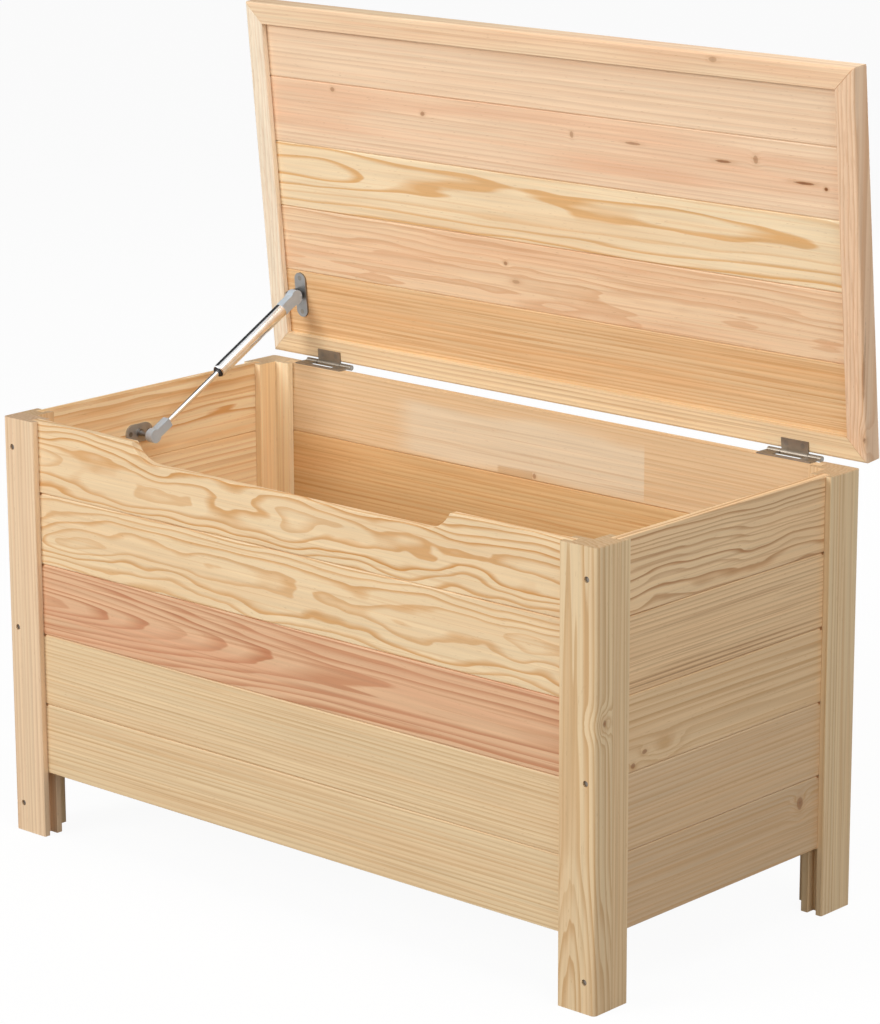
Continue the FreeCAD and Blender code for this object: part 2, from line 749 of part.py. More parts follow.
def make_hinge(name, side):
    """A flush hinge: the lid leaf lies in the base leaf's window when the lid is closed."""
    x = f"{side} * hinge_place"
    base = hinge_leaf(f"hinge_base_leaf_{name}", "hinge_length", "base_leaf_reach", "0 - leaf_thick / 2")
    half = "(lid_leaf_length / 2 + leaf_play)"
    back = "knuckle_radius + leaf_play"
    window = rectangle(f"0 - {half}", half, "0 - lid_leaf_reach - leaf_play", back)
    pocket(base, outline(base, "XY_Plane", window))
    bore_knuckle(base)
    sink_holes(base, circles(base, "XY_Plane", base_screw_spots(), "wood_screw_shank", "leaf_thick / 2"))
    place(base, x, "hinge_y", "hinge_z")
    lid_low = "lid_face - leaf_thick"
    leaf = hinge_leaf(f"hinge_lid_leaf_{name}", "lid_leaf_length", "lid_leaf_reach", lid_low)
    bore_knuckle(leaf)
    sink_holes(leaf, circles(leaf, "XY_Plane", lid_screw_spots(), "wood_screw_shank", lid_low), upwards=True)
    place_on_lid(leaf, x)
    pin = node(make_cylinder("pin_radius", "hinge_length", axis="X"), f"hinge_pin_{name}")
    place(pin, f"{x} - hinge_length / 2", "hinge_y", "hinge_z")


def make_hinge_screws():
    base_screws = []
    for x, y in at_hinges(base_screw_spots()):
        screw = make_wood_screw("hinge_screw_length")
        place(screw, x, f"hinge_y + {y}", "hinge_z + leaf_thick / 2")
        base_screws.append(screw)
    make_group("hinge_base_screws", base_screws)
    lid_screws = []
    for x, y in at_hinges(lid_screw_spots()):
        lid_screws.append(make_lid_screw("hinge_screw_length", x, y, "lid_face - leaf_thick"))
    make_group("hinge_lid_screws", lid_screws)


def make_lid_screw(length, x, y, z):
    """A wood screw driven into the lid from its inner side."""
    screw = make_wood_screw(length)
    place(screw, x, *on_lid(y, z), "180 - lid_open", FreeCAD.Vector(1, 0, 0))
    return screw


def make_upper_bracket():
    """Oval plate on the lid boards, with an ear that carries the stud."""
    body = new_body("strut_upper_bracket")
    half_width = "upper_plate_width / 2"
    half_run = "(upper_plate_length - upper_plate_width) / 2"
    left, right = f"strut_x - {half_width}", f"strut_x + {half_width}"
    low, high = f"pivot_y - {half_run}", f"pivot_y + {half_run}"
    oval = [
        (left, low, "strut_x", low),
        (right, low),
        (right, high, "strut_x", high),
        (left, high),
    ]
    plate_low = "lid_boards_face - plate_thick"
    pad(body, outline(body, "XY_Plane", oval, plate_low), "plate_thick")
    ear = [
        ("pivot_y - ear_radius", "pivot_z", "pivot_y", "pivot_z"),
        ("pivot_y + ear_radius", "pivot_z"),
        ("pivot_y + ear_radius", "lid_boards_face"),
        ("pivot_y - ear_radius", "lid_boards_face"),
    ]
    pad(body, outline(body, "YZ_Plane", ear, "ear_x"), "plate_thick")
    sink_holes(body, circles(body, "XY_Plane", upper_screw_spots(), "wood_screw_shank", plate_low), upwards=True)
    place_on_lid(body)
    screws = [make_lid_screw("bracket_screw_length", x, y, plate_low) for x, y in upper_screw_spots()]
    make_group("strut_upper_screws", screws)


def make_upper_stud():
    """Stud riveted to the upper bracket's ear, in the upper socket's bore."""
    collar = make_cylinder("collar_radius", "upper_collar", "0 - stud_reach - upper_collar", "X")
    pin = make_cylinder("pivot_radius", "pivot_depth", "0 - stud_reach", "X")
    stud = node(fuse(collar, pin), "strut_upper_stud")
    place(stud, "strut_x", *on_lid("pivot_y", "pivot_z"))


def make_lower_bracket():
    """Plate on the left wall, with the stud that ends just short of the strut's lower socket."""
    body = new_body("strut_lower_bracket")
    half_length, half_height = "lower_plate_length / 2", "lower_plate_height / 2"
    half_run = f"({half_length} - {half_height})"
    front, back = f"strut_low_y - {half_run}", f"strut_low_y + {half_run}"
    low, high = f"strut_low_z - {half_height}", f"strut_low_z + {half_height}"
    oval = [
        (front, low),
        (back, low, back, "strut_low_z"),
        (back, high),
        (front, high, front, "strut_low_z"),
    ]
    pad(body, outline(body, "YZ_Plane", oval, "low_plate_x"), "plate_thick")
    outer = "low_plate_x + plate_thick"
    sink_holes(body, circles(body, "YZ_Plane", low_bracket_spots(), "wood_screw_shank", outer))
    place(body)
    screws = []
    for y, z in low_bracket_spots():
        screw = make_wood_screw("bracket_screw_length")
        place(screw, outer, y, z, "90", FreeCAD.Vector(0, 1, 0))
        screws.append(screw)
    make_group("strut_lower_screws", screws)
    pin = make_cylinder("pivot_radius", f"strut_x - stud_reach - ({outer})", axis="X")
    collar = make_cylinder("collar_radius", "collar_thick", axis="X")
    stud = node(fuse(pin, collar), "strut_lower_stud")
    place(stud, outer, "strut_low_y", "strut_low_z")


def make_socket(eye, eye_radius, neck_width, neck_low, neck_length):
    """Moulded socket: an eye about the pivot's axis and a flat neck along the strut."""
    disc = make_cylinder(eye_radius, "socket_thick", "0 - socket_thick / 2", "X")
    bind(disc, Placement__Base__y=eye)
    neck = doc.addObject("Part::Box", "neck")
    bind(neck, Length="socket_thick", Width=neck_length, Height=neck_width)
    bind(neck, Placement__Base__x="0 - socket_thick / 2", Placement__Base__y=neck_low)
    bind(neck, Placement__Base__z=f"0 - {neck_width} / 2")
    bore = make_cylinder("pivot_radius + pivot_play", "pivot_depth", "0 - socket_thick / 2", "X")
    bind(bore, Placement__Base__y=eye)
    return cut(fuse(disc, neck), bore)


def make_sockets():
    length = "upper_socket_length"
    upper = make_socket("0", "upper_socket_radius", "upper_neck_width", "0", length)
    place_on_strut(node(upper, "strut_upper_socket"))
    seat = make_cylinder("rod_radius + slide_play", "rod_seat", "lower_socket_top", "Y")
    top, length = "lower_socket_top", "lower_socket_length"
    lower = make_socket("strut_length", "lower_socket_radius", "lower_neck_width", top, length)
    place_on_strut(node(cut(lower, seat), "strut_lower_socket"))


def turned(label, points):
    """A piece turned about the strut's axis from pairs of radius and distance from the upper pivot."""
    body = new_body(label)
    revolve(body, outline(body, "XY_Plane", points))
    place_on_strut(body)


def make_strut_barrel():
    top, mouth = "upper_socket_length", "tube_mouth"
    inside = f"{top} + tube_end_thick"
    turned(
        "strut_tube",
        [
            ("0", top),
            ("tube_radius - tube_end_round", top),
            ("tube_radius", f"{top} + tube_end_round"),
            ("tube_radius", f"{mouth} - tube_end_round"),
            ("tube_radius - tube_end_round", mouth),
            ("tube_bore", mouth),
            ("tube_bore", inside),
            ("0", inside),
        ],
    )
    turned(
        "strut_rod_guide",
        [
            ("rod_radius + slide_play", f"{mouth} - guide_length"),
            ("tube_bore - slide_play", f"{mouth} - guide_length"),
            ("tube_bore - slide_play", mouth),
            ("guide_lip_radius", mouth),
            ("guide_lip_radius", f"{mouth} + guide_lip"),
            ("rod_radius + slide_play", f"{mouth} + guide_lip"),
        ],
    )


def make_strut_rod():
    rod_end = "lower_socket_top + rod_seat"
    turned("strut_rod", [("0", "rod_top"), ("rod_radius", "rod_top"), ("rod_radius", rod_end), ("0", rod_end)])
    radius = "tube_bore - slide_play"
    top = "rod_top - piston_thick"
    turned("strut_piston", [("0", top), (radius, top), (radius, "rod_top"), ("0", "rod_top")])


def check_and_write():
    """Stops at a failed object, then writes each piece to its own file."""
    doc.recompute()
    for item in doc.Objects:
        if {"Invalid", "Error"} & set(item.State):
            raise RuntimeError(f"{item.Label} failed: {item.State}")
    for piece in nodes:
        if piece.Shape.isNull() or not piece.Shape.isValid() or not piece.Shape.Solids:
            raise RuntimeError(f"{piece.Label} has no sound shape")
    os.makedirs("parts", exist_ok=True)
    for piece in nodes:
        piece.Shape.exportStep(f"parts/{piece.Label}.step")
    print(f"{len(nodes)} pieces, strut {value('strut_length'):.2f} long, shift {value('origin_shift'):.3f}")


sheet = fill_sheets()
make_walls()
make_floor()
make_corner_screws()
make_lid_frame()
make_lid_boards()
for hinge_name, hinge_side in SIDES.items():
    make_hinge(hinge_name, hinge_side)
make_hinge_screws()
make_upper_bracket()
make_upper_stud()
make_lower_bracket()
make_sockets()
make_strut_barrel()
make_strut_rod()
check_and_write()
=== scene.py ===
import math
from typing import NamedTuple

import bpy
from mathutils import Matrix, Vector


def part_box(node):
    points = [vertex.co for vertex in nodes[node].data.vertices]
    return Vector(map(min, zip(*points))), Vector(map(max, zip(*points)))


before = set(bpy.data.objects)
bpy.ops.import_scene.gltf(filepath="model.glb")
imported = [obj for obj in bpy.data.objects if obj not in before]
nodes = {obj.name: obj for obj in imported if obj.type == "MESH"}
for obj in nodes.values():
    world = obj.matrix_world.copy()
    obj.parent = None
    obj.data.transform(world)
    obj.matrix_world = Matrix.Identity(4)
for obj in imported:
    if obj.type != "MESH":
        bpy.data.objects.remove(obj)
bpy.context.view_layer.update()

# Camera of the photograph: place in metres, angles in degrees, lens and sensor in millimetres
CAMERA_PLACE = Vector((2.4909, -2.7344, 1.3335))
CAMERA_YAW = 42.144
CAMERA_PITCH = 14.54
CAMERA_ROLL = 0.212
CAMERA_LENS = 132.75
CAMERA_SENSOR = 36.0

AXES = {"X": 0, "Y": 1, "Z": 2}
MILLIMETRES = 1000.0

# Edge softness of sanded wood and of moulded pieces, in metres
WOOD_EASE = 0.0007
HARDWARE_EASE = 0.0003
EASE_STEPS = 2

# Gap of points that are welded, in metres, and the angles of flat and of sharp edges, in degrees
WELD_GAP = 1e-6
FLAT_ANGLE = 0.5
SHARP_ANGLE = 40


class Knot(NamedTuple):
    """A knot or other dark mark, placed from the middle of its board; lengths in millimetres."""

    along: float
    across: float
    size: float
    dark: float = 0.8
    push: float = 1.0
    ball: float = 0.0
    shorten: float = 0.8


class Patch(NamedTuple):
    """A piece of other wood let into a board, placed from the board's middle; lengths in millimetres."""

    start: float
    end: float
    bottom: float
    top: float
    blur: float
    code: str
    share: float


class Field(NamedTuple):
    """A noise field, with its grain in millimetres along, across and through a board."""

    grain: tuple
    seed: float = 0.0
    detail: float = 1.0
    roughness: float = 0.5


class Wood(NamedTuple):
    """How one piece of pine was cut and how it is coloured; lengths in millimetres."""

    ring: float = 4.5
    pith: float = 60.0
    offset: float = 150.0
    tilt: float = 0.01
    climb: float = 0.0
    climb_from: float = -200.0
    climb_to: float = 200.0
    wave: float = 2.5
    wave_length: float = 260.0
    wave_across: float = 45.0
    ripple: float = 0.22
    early: str = "EBD0A6"
    late: str = "C4935A"
    tone: str = "E2B98A"
    tone_share: float = 0.35
    contrast: float = 0.55
    pale_share: float = 0.38
    uneven: float = 0.9
    lines: float = 0.3
    seed: float = 0.0
    patches: tuple = ()
    knots: tuple = ()


class Lamp(NamedTuple):
    """A round soft lamp; lengths in metres, power in watts."""

    name: str
    place: tuple
    size: float
    power: float


# Noise fields of pine, whose seeds keep them apart on one board
RAGGED = Field((5.0, 5.0, 5.0), 0.0, 2.0)
FIBRE = Field((70.0, 0.9, 0.9), 5.0, 3.0, 0.6)
STREAK = Field((180.0, 4.2, 4.2), 8.0, 2.0)
DRIFT = Field((330.0, 26.0, 26.0), 11.0, 2.0)
LINES = Field((260.0, 3.0, 3.0), 15.0, 2.0, 0.6)
DASHES = Field((9.0, 0.8, 0.8), 21.0)
GOOD_YEARS = Field((900.0, 11.0, 11.0), 30.0)
WANDER = Field((140.0, 30.0, 30.0), 40.0)
RIPPLES_PER_WAVE = 3.5
RIPPLE_SEED = 3.7

# Growth rings: where late wood is darkest in a ring, and the share that the faintest years keep
LATE_FROM = 0.84
LATE_TO = 0.94
FAINT_YEAR = 0.45

# Knots: ragged edge, how rings lift round them, their colours from the middle out, and their reach
KNOT_RAGGED = 0.25
KNOT_FALL = -0.16
KNOT_LIFT = 1.6
KNOT_STOPS = ((0.0, "6B3A1C"), (0.45, "8F5A30"), (0.8, "9A6538"), (1.0, "6B3A1C"))
KNOT_COVER = (0.75, 1.15)
KNOT_HALO = "C08A54"
HALO_COVER = (0.8, 2.6)
HALO_SHARE = 0.35

# Fine shading of pine: spans of brightness, and the noise levels at which tone, lines and dashes show
FIBRE_SPAN = (-0.08, 0.08)
STREAK_SPAN = (0.86, 1.14)
TONE_LEVELS = (0.35, 0.75)
LINE_LEVELS = (0.55, 0.68)
DASH_LEVELS = (0.70, 0.78)
DASH_SHARE = 0.35
RESIN = "A9733F"

# Let-in lengths: depth to which they reach and joint at the one end, in millimetres, and fade at the
# other, in blurs
INNER_FACE = (0.5, -0.5)
PATCH_JOINT = 1.5
PATCH_FADE = 3.0

# End grain: how squarely a face has to look along the grain, and how much darker it gets
END_FACING = (0.75, 0.95)
END_SHARE = 0.45
END_GRAIN = "8F6C4C"

# Lacquer, scratched steel and moulded plastic: spans of roughness and brightness, noise scales per metre,
# and bumps as strength and depth in metres
PINE_ROUGHNESS = (0.42, 0.62)
PINE_SPECULAR = 0.35
PINE_BUMP = (0.3, 0.0004)
RING_RELIEF = 0.2
SCRATCH_SCALE = (120.0, 2600.0, 2600.0)
SCRATCH_DETAIL = 3.0
SCRATCH_ROUGHNESS = 0.6
SCRATCH_SPAN = (-0.08, 0.12)
SCRATCH_BUMP = (0.15, 0.0001)
STAIN_SCALE = 90.0
STAIN_SPAN = (0.75, 1.15)
SKIN_SCALE = 1800.0
SKIN_SPAN = (-0.06, 0.08)
SKIN_BUMP = (0.1, 0.0001)
CLOUD_SCALE = 120.0
CLOUD_SPAN = (0.9, 1.08)

# Studio: even light from all round, floor, lamps and a dark card beside the strut; lengths in metres
AMBIENT = 0.288
WHITE = "FFFFFF"
FLOOR_REACH = 12.0
FLOOR_BOUNCE = "9C9995"
FLOOR_GLOW = 0.94
LIGHT_AIM = (0.0, 0.0, 0.4)
LAMPS = (
    Lamp("key", (-1.4, -3.4, 2.0), 2.2, 104.0),
    Lamp("side", (3.2, -1.0, 1.7), 2.0, 24.0),
    Lamp("top", (0.9, -0.3, 2.2), 1.4, 14.0),
    Lamp("back", (-0.4, 3.4, 1.0), 2.4, 55.0),
)
CARD_PLACE = (-1.05, 0.4, 1.1)
CARD_AIM = (-0.36, 0.07, 0.5)
CARD_HALF = 0.6
CARD_COLOUR = "202124"
CARD_ROUGHNESS = 0.9


def linear(code):
    """Turns a six-figure colour code into the numbers that a shader takes."""
    values = [int(code[start:start + 2], 16) / 255 for start in (0, 2, 4)]
    curve = [v / 12.92 if v <= 0.04045 else ((v + 0.055) / 1.055) ** 2.4 for v in values]
    return (*curve, 1.0)


class Graph:
    """Short calls for building the nodes of one material or of the world."""

    def __init__(self, owner):
        self.owner = owner
        self.owner.use_nodes = True
        self.tree = owner.node_tree
        self.tree.nodes.clear()

    def add(self, kind, **settings):
        """Adds one node with its settings."""
        made = self.tree.nodes.new(kind)
        for key, setting in settings.items():
            setattr(made, key, setting)
        return made

    def feed(self, socket, source):
        """Links a socket to another one, or gives it a plain value."""
        if isinstance(source, bpy.types.NodeSocket):
            self.tree.links.new(source, socket)
        else:
            socket.default_value = source

    def join(self, kind, sources, **settings):
        """Adds a node, feeds its inputs in order and returns its first output."""
        made = self.add(kind, **settings)
        for socket, source in zip(made.inputs, sources):
            self.feed(socket, source)
        return made.outputs[0]

    def math(self, operation, first, second=0.0, third=0.0):
        return self.join("ShaderNodeMath", (first, second, third), operation=operation)

    def vector(self, x, y, z):
        return self.join("ShaderNodeCombineXYZ", (x, y, z))

    def blend(self, share, first, second):
        """Mixes two shaders."""
        return self.join("ShaderNodeMixShader", (share, first, second))

    def noise(self, place, detail=2.0, roughness=0.5, scale=1.0):
        made = self.add("ShaderNodeTexNoise")
        self.feed(made.inputs["Vector"], place)
        made.inputs["Scale"].default_value = scale
        made.inputs["Detail"].default_value = detail
        made.inputs["Roughness"].default_value = roughness
        return made.outputs["Fac"]

    def swing(self, value, reach):
        """Turns noise into a swing to both sides of zero."""
        return self.math("MULTIPLY", self.math("SUBTRACT", value, 0.5), 2.0 * reach)

    def step(self, value, low, high):
        """Rises smoothly from 0 at low to 1 at high."""
        made = self.add("ShaderNodeMapRange", interpolation_type="SMOOTHSTEP")
        self.feed(made.inputs["Value"], value)
        made.inputs["From Min"].default_value = low
        made.inputs["From Max"].default_value = high
        return made.outputs["Result"]

    def span(self, value, low, high):
        """Maps 0 to 1 onto low to high."""
        return self.math("MULTIPLY_ADD", value, high - low, low)

    def mix(self, share, first, second, blend="MIX"):
        """Mixes two colours; sockets 6, 7 and 2 of the node are its colour ones."""
        made = self.add("ShaderNodeMix", data_type="RGBA", blend_type=blend)
        self.feed(made.inputs["Factor"], share)
        self.feed(made.inputs[6], first)
        self.feed(made.inputs[7], second)
        return made.outputs[2]

    def tint(self, colour, shade):
        """Brightens or darkens a colour."""
        return self.mix(1.0, colour, self.vector(shade, shade, shade), "MULTIPLY")

    def ramp(self, value, stops):
        made = self.add("ShaderNodeValToRGB")
        self.feed(made.inputs["Fac"], value)
        marks = made.color_ramp.elements
        while len(marks) < len(stops):
            marks.new(0.5)
        for mark, (place, shade) in zip(marks, stops):
            mark.position = place
            mark.color = shade
        return made.outputs["Color"]

    def bump(self, height, strength, depth):
        made = self.add("ShaderNodeBump")
        made.inputs["Strength"].default_value = strength
        made.inputs["Distance"].default_value = depth
        self.feed(made.inputs["Height"], height)
        return made.outputs["Normal"]

    def output(self, surface, kind="ShaderNodeOutputMaterial"):
        """Adds the output and returns what the nodes belong to."""
        self.feed(self.add(kind).inputs["Surface"], surface)
        return self.owner

    def finish(self, **sockets):
        """Adds the surface shader and returns the material."""
        shader = self.add("ShaderNodeBsdfPrincipled")
        for name, source in sockets.items():
            self.feed(shader.inputs[name.replace("_", " ")], source)
        return self.output(shader.outputs["BSDF"])


def new_material(name):
    return Graph(bpy.data.materials.new(name))


def board_place(graph, node, along, across, facing):
    """Place on a board in millimetres from its middle: along the grain, across it and through it."""
    low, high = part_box(node)
    middle = (low + high) / 2
    coordinates = graph.add("ShaderNodeTexCoord")
    split = graph.add("ShaderNodeSeparateXYZ")
    graph.feed(split.inputs[0], coordinates.outputs["Object"])
    places = []
    for axis in (along, across, facing):
        index = AXES[axis]
        offset = -middle[index] * MILLIMETRES
        places.append(graph.math("MULTIPLY_ADD", split.outputs[index], MILLIMETRES, offset))
    return places


def spread(graph, place, field, seed):
    """Spreads a noise field over a board."""
    parts = []
    for value, step in zip(place, field.grain):
        parts.append(graph.math("MULTIPLY_ADD", value, 1.0 / step, seed + field.seed))
    return graph.noise(graph.vector(*parts), field.detail, field.roughness)


def knot_distance(graph, place, knot, seed):
    """Distance from a knot's middle in its own sizes, a little ragged."""
    along = graph.math("MULTIPLY", graph.math("SUBTRACT", place[0], knot.along), knot.shorten)
    across = graph.math("SUBTRACT", place[1], knot.across)
    through = graph.math("MULTIPLY", place[2], knot.ball)
    squares = graph.math("MULTIPLY", along, along)
    for side in (across, through):
        squares = graph.math("MULTIPLY_ADD", side, side, squares)
    ragged = graph.swing(spread(graph, place, RAGGED, seed + knot.along), KNOT_RAGGED)
    return graph.math("ADD", graph.math("DIVIDE", graph.math("SQRT", squares), knot.size), ragged)


def knot_push(graph, distance, knot):
    """How far a knot lifts the growth rings around it."""
    square = graph.math("MULTIPLY", distance, distance)
    fall = graph.math("EXPONENT", graph.math("MULTIPLY", square, KNOT_FALL))
    return graph.math("MULTIPLY", fall, knot.push * knot.size * KNOT_LIFT)


def ring_phase(graph, place, wood, distances):
    """Growth rings round a pith that runs nearly along the board, counted outwards."""
    lengths = (wood.wave_length, wood.wave_across, wood.wave_across)
    waves = Field(lengths)
    ripples = Field(tuple(length / RIPPLES_PER_WAVE for length in lengths), RIPPLE_SEED)
    slow = graph.swing(spread(graph, place, waves, wood.seed), wood.wave)
    quick = graph.swing(spread(graph, place, ripples, wood.seed), wood.wave * wood.ripple)
    depth = graph.math("MULTIPLY_ADD", place[0], wood.tilt, wood.pith)
    climb = graph.math("MULTIPLY", graph.step(place[0], wood.climb_from, wood.climb_to), wood.climb)
    for part in (place[2], slow, quick, climb):
        depth = graph.math("ADD", depth, part)
    for knot, distance in zip(wood.knots, distances):
        depth = graph.math("ADD", depth, knot_push(graph, distance, knot))
    side = graph.math("ADD", place[1], wood.offset)
    squares = graph.math("MULTIPLY_ADD", side, side, graph.math("MULTIPLY", depth, depth))
    count = graph.math("DIVIDE", graph.math("SQRT", squares), wood.ring)
    good_years = graph.swing(spread(graph, place, GOOD_YEARS, wood.seed), wood.uneven)
    return graph.math("ADD", count, good_years)


def ring_colour(graph, phase, wood):
    """Pale early wood that darkens into late wood and ends sharply, ring by ring."""
    early, late = linear(wood.early), linear(wood.late)
    stops = [(0.0, early), (wood.pale_share, early), (LATE_FROM, late), (LATE_TO, late), (1.0, early)]
    rings = graph.ramp(graph.math("FRACT", phase), stops)
    year = graph.add("ShaderNodeTexWhiteNoise", noise_dimensions="1D")
    graph.feed(year.inputs["W"], graph.math("FLOOR", phase))
    share = graph.span(year.outputs["Value"], wood.contrast * FAINT_YEAR, wood.contrast)
    return graph.mix(share, early, rings)


def tone_colour(graph, colour, place, wood):
    """Lays a second tone over part of the board in long soft drifts."""
    drift = spread(graph, place, DRIFT, wood.seed)
    share = graph.math("MULTIPLY", graph.step(drift, *TONE_LEVELS), wood.tone_share)
    return graph.mix(share, colour, linear(wood.tone))


def knot_colour(graph, colour, distances, wood):
    """Lays each knot's dark core and its bark ring over the board's colour."""
    stops = [(mark, linear(code)) for mark, code in KNOT_STOPS]
    for knot, distance in zip(wood.knots, distances):
        inside = graph.ramp(distance, stops)
        cover = graph.math("SUBTRACT", 1.0, graph.step(distance, *KNOT_COVER))
        halo = graph.math("SUBTRACT", 1.0, graph.step(distance, *HALO_COVER))
        colour = graph.mix(graph.math("MULTIPLY", halo, HALO_SHARE * knot.dark), colour, linear(KNOT_HALO))
        colour = graph.mix(graph.math("MULTIPLY", cover, knot.dark), colour, inside)
    return colour


def shade_fibres(graph, colour, place, wood, fibre):
    """Fine fibre shading, thin dark grain lines and short resin dashes."""
    streak = spread(graph, place, STREAK, wood.seed)
    shade = graph.math("ADD", graph.span(fibre, *FIBRE_SPAN), graph.span(streak, *STREAK_SPAN))
    colour = graph.tint(colour, shade)
    line = graph.step(spread(graph, place, LINES, wood.seed), *LINE_LEVELS)
    colour = graph.mix(graph.math("MULTIPLY", line, wood.lines), colour, linear(wood.late))
    dash = graph.step(spread(graph, place, DASHES, wood.seed), *DASH_LEVELS)
    return graph.mix(graph.math("MULTIPLY", dash, DASH_SHARE), colour, linear(RESIN))


def lay_patches(graph, colour, place, wood):
    """Lengths of other wood let into a board's inner face, each with one straight end and blurred sides."""
    for patch in wood.patches:
        wander = graph.swing(spread(graph, place, WANDER, wood.seed), patch.blur)
        across = graph.math("ADD", place[1], wander)
        edges = (
            graph.step(place[0], patch.end, patch.end - PATCH_JOINT),
            graph.step(across, patch.bottom, patch.bottom + patch.blur),
            graph.step(across, patch.top, patch.top - patch.blur),
            graph.step(place[2], *INNER_FACE),
        )
        inside = graph.step(place[0], patch.start, patch.start + PATCH_FADE * patch.blur)
        for edge in edges:
            inside = graph.math("MULTIPLY", inside, edge)
        colour = graph.mix(graph.math("MULTIPLY", inside, patch.share), colour, linear(patch.code))
    return colour


def darken_ends(graph, colour, along):
    """End grain, which drinks more lacquer and looks darker."""
    split = graph.add("ShaderNodeSeparateXYZ")
    graph.feed(split.inputs[0], graph.add("ShaderNodeTexCoord").outputs["Normal"])
    facing = graph.math("ABSOLUTE", split.outputs[AXES[along]])
    share = graph.math("MULTIPLY", graph.step(facing, *END_FACING), END_SHARE)
    return graph.mix(share, colour, linear(END_GRAIN))


def pine(node, along, across, facing, wood):
    """Clear-lacquered pine with solid growth rings, fibre streaks, resin dashes and knots."""
    graph = new_material(f"pine_{node}")
    place = board_place(graph, node, along, across, facing)
    distances = [knot_distance(graph, place, knot, wood.seed) for knot in wood.knots]
    phase = ring_phase(graph, place, wood, distances)
    fibre = spread(graph, place, FIBRE, wood.seed)
    colour = ring_colour(graph, phase, wood)
    colour = tone_colour(graph, colour, place, wood)
    colour = lay_patches(graph, colour, place, wood)
    colour = shade_fibres(graph, colour, place, wood, fibre)
    colour = knot_colour(graph, colour, distances, wood)
    colour = darken_ends(graph, colour, along)
    relief = graph.math("MULTIPLY_ADD", graph.math("FRACT", phase), RING_RELIEF, fibre)
    return graph.finish(
        Base_Color=colour,
        Roughness=graph.span(fibre, *PINE_ROUGHNESS),
        Specular_IOR_Level=PINE_SPECULAR,
        Normal=graph.bump(relief, *PINE_BUMP),
    )


def steel(name, code, roughness):
    """Drawn steel with fine lengthwise scratches and a little staining."""
    graph = new_material(name)
    coordinates = graph.add("ShaderNodeTexCoord").outputs["Object"]
    mapping = graph.add("ShaderNodeMapping")
    graph.feed(mapping.inputs["Vector"], coordinates)
    mapping.inputs["Scale"].default_value = SCRATCH_SCALE
    scratch = graph.noise(mapping.outputs[0], SCRATCH_DETAIL, SCRATCH_ROUGHNESS)
    stain = graph.noise(coordinates, scale=STAIN_SCALE)
    low, high = SCRATCH_SPAN
    return graph.finish(
        Base_Color=graph.tint(linear(code), graph.span(stain, *STAIN_SPAN)),
        Metallic=1.0,
        Roughness=graph.span(scratch, roughness + low, roughness + high),
        Normal=graph.bump(scratch, *SCRATCH_BUMP),
    )


def plastic(name, code, roughness):
    """Moulded plastic with a fine skin texture and slight shading."""
    graph = new_material(name)
    coordinates = graph.add("ShaderNodeTexCoord").outputs["Object"]
    skin = graph.noise(coordinates, scale=SKIN_SCALE)
    cloud = graph.noise(coordinates, scale=CLOUD_SCALE)
    low, high = SKIN_SPAN
    return graph.finish(
        Base_Color=graph.tint(linear(code), graph.span(cloud, *CLOUD_SPAN)),
        Roughness=graph.span(skin, roughness + low, roughness + high),
        Normal=graph.bump(skin, *SKIN_BUMP),
    )


def dress(node, material):
    """Gives a CAD piece one material."""
    slots = nodes[node].data.materials
    slots.clear()
    slots.append(material)


def soften(node, width):
    """Breaks a CAD piece's sharp edges with modifiers that leave its mesh as it is."""
    piece = nodes[node]
    piece.modifiers.new("weld", "WELD").merge_threshold = WELD_GAP
    flat = piece.modifiers.new("flat", "DECIMATE")
    flat.decimate_type = "DISSOLVE"
    flat.angle_limit = math.radians(FLAT_ANGLE)
    ease = piece.modifiers.new("ease", "BEVEL")
    ease.width = width
    ease.segments = EASE_STEPS
    ease.limit_method = "ANGLE"
    ease.angle_limit = math.radians(SHARP_ANGLE)
    piece.modifiers.new("shading", "WEIGHTED_NORMAL")


# Timber of the different boards: how it was cut and how it is coloured
PALE = Wood()
SWIRL = Wood(
    ring=5.4, pith=34, offset=4, tilt=0.012, wave=16, wave_length=110, wave_across=40, ripple=0.08,
    contrast=0.95, pale_share=0.5, uneven=0.2, early="F4D8AE", late="CF8E40", lines=0.2,
)
RED = Wood(early="E6BB93", late="B86E42", tone="DFA27C", tone_share=0.5, contrast=0.85, lines=0.35)
PINK = Wood(early="F6D9B8", late="CF9A6B", tone="F0C7A2", contrast=0.45)
ORANGE = Wood(early="EFCA93", late="C78A48", tone="E8B278", tone_share=0.5, contrast=0.6)
# Pine of the inner left wall and the back corner: its early wood is brightened as painted light, standing
# in for the bounce light inside the chest
PAINTED_LIGHT_PALE = Wood(early="FEE8C0", late="DDA25C", tone="F9D09A", tone_share=0.5, contrast=0.65)
RIDGED = Wood(
    ring=4.6, pith=66, offset=64, wave=11, wave_length=130, wave_across=66, ripple=0.12,
    contrast=0.95, pale_share=0.5, early="F4D4A8", late="B37B48", tone="E9BD8C",
)

LID_KNOTS = (
    Knot(-289, 31, 2.4, 0.5),
    Knot(-160, 17, 2.4, 0.6),
    Knot(44, 16, 3.4, 0.45, shorten=1.5),
    Knot(124, 15, 1.4, 0.55, shorten=0.14),
    Knot(238, 9, 1.5, 0.8, shorten=0.15),
    Knot(278, 15, 4.0, 0.5, 1.6, shorten=1.3),
    Knot(336, -2, 1.5, 0.9, shorten=0.12),
    Knot(362, -5, 1.8, 1.0),
)
# Small openings where a seam runs into a stile, drawn as dark dots: painted shade of the openings
FRONT_GAP_SHADE = Knot(-353.5, 35, 1.3, 0.9, 0.0)
RIGHT_GAP_SHADE = Knot(150.5, 35, 1.3, 0.9, 0.0)

